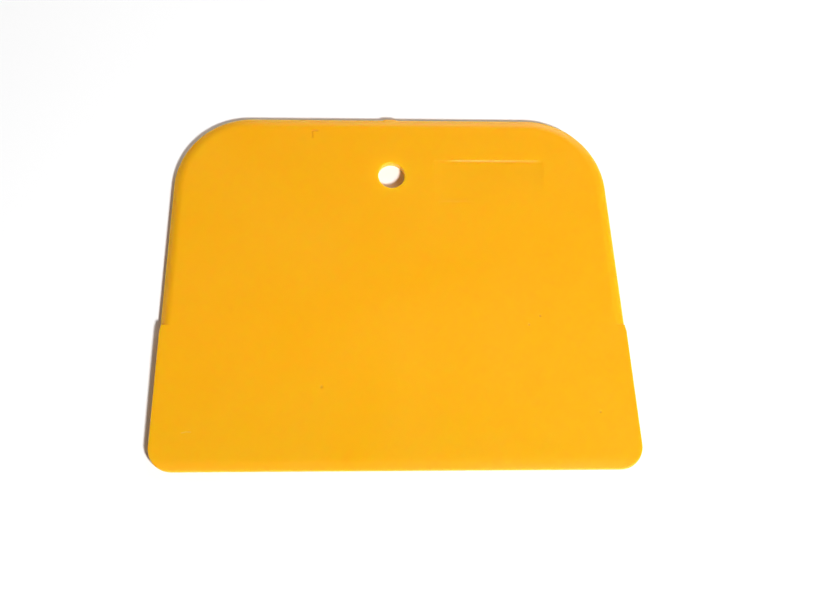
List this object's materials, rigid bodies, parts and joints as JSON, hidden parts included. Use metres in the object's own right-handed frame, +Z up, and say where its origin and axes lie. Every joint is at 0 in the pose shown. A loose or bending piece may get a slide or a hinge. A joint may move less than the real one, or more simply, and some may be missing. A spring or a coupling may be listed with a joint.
{
  "type": "squeegee applicator",
  "caption": "Flat flexible moulded squeegee: a thick handle with a rounded rim, hang hole and blank label window, and a thin square-edged blade for pressing films flat.",
  "frame": {"origin": "middle of the footprint, on the surface that the plate lies on, under its back face", "axes": "+X along the working edge, +Y from the working edge to the handle's far edge, +Z up out of the front face"},
  "size_m": [0.1008, 0.0762, 0.002],
  "materials": {
    "yellow_polyethylene": "satin moulded polyethylene, slightly translucent, with fine handling scratches"
  },
  "bodies": {
    "root": {"spreader_plate": "yellow_polyethylene"}
  },
  "joints": []
}
